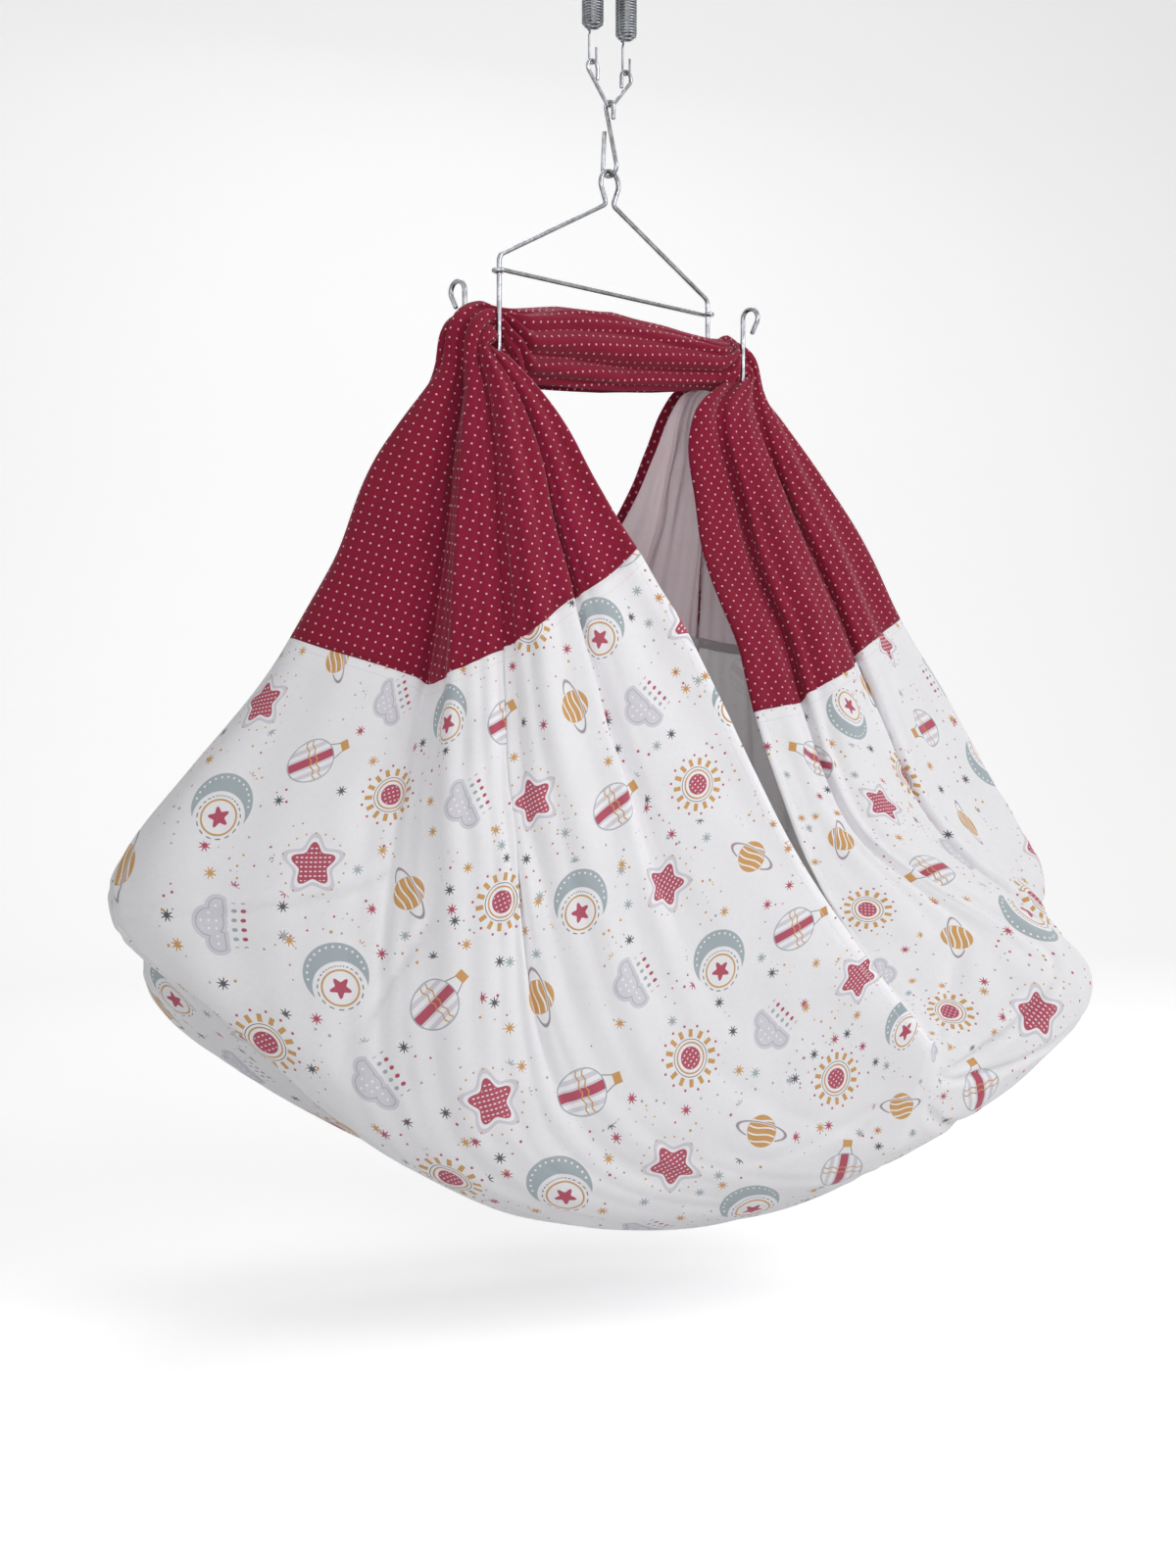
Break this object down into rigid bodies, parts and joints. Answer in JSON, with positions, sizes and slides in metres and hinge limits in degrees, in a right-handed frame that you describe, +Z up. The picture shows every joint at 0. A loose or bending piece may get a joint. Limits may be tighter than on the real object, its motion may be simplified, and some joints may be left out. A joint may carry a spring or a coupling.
{
  "type": "hanging baby cradle",
  "caption": "Gathered cloth sling with a thin mattress, hung by both ends from a bent wire hanger, an S-hook and coil springs.",
  "frame": {"origin": "where a ceiling hook bears under the bend of the top link", "axes": "+Z up along the hanging line, +X along the sling's long axis to the right in the picture, front towards -Y"},
  "size_m": [0.975, 0.421, 1.3531],
  "materials": {
    "wire": "bright plated steel wire",
    "spring_wire": "plated spring wire, a little duller than the links",
    "dotted_cloth": "burgundy cotton with small white pin dots",
    "printed_cloth": "white cotton with a scattered nursery print",
    "mattress_cover": "plain off-white cotton cover"
  },
  "bodies": {
    "anchor": {"top_link": "wire", "spring_left": "spring_wire", "spring_right": "spring_wire"},
    "lower_link": {"lower_link": "wire"},
    "s_hook": {"s_hook": "wire"},
    "cradle": {"hanger_wire": "wire", "crossbar": "wire", "upper_cloth": "dotted_cloth", "lower_cloth": "printed_cloth", "mattress": "mattress_cover"}
  },
  "joints": [
    {"name": "spring_stretch", "type": "slide", "parent": "anchor", "child": "lower_link", "axis": [0, 0, -1], "range_m": [0, 0.12], "stiffness_N_per_m": 1200, "springref_m": -0.03, "deforming": ["spring_left", "spring_right"]},
    {"name": "sway_side", "type": "hinge", "parent": "lower_link", "child": "s_hook", "pos_m": [0, 0, -0.2242], "axis": [0.7997, 0.6004, 0], "range_deg": [-25, 25]},
    {"name": "sway_long", "type": "hinge", "parent": "s_hook", "child": "cradle", "pos_m": [0, 0, -0.29605], "axis": [-0.6004, 0.7997, 0], "range_deg": [-15, 15]}
  ]
}
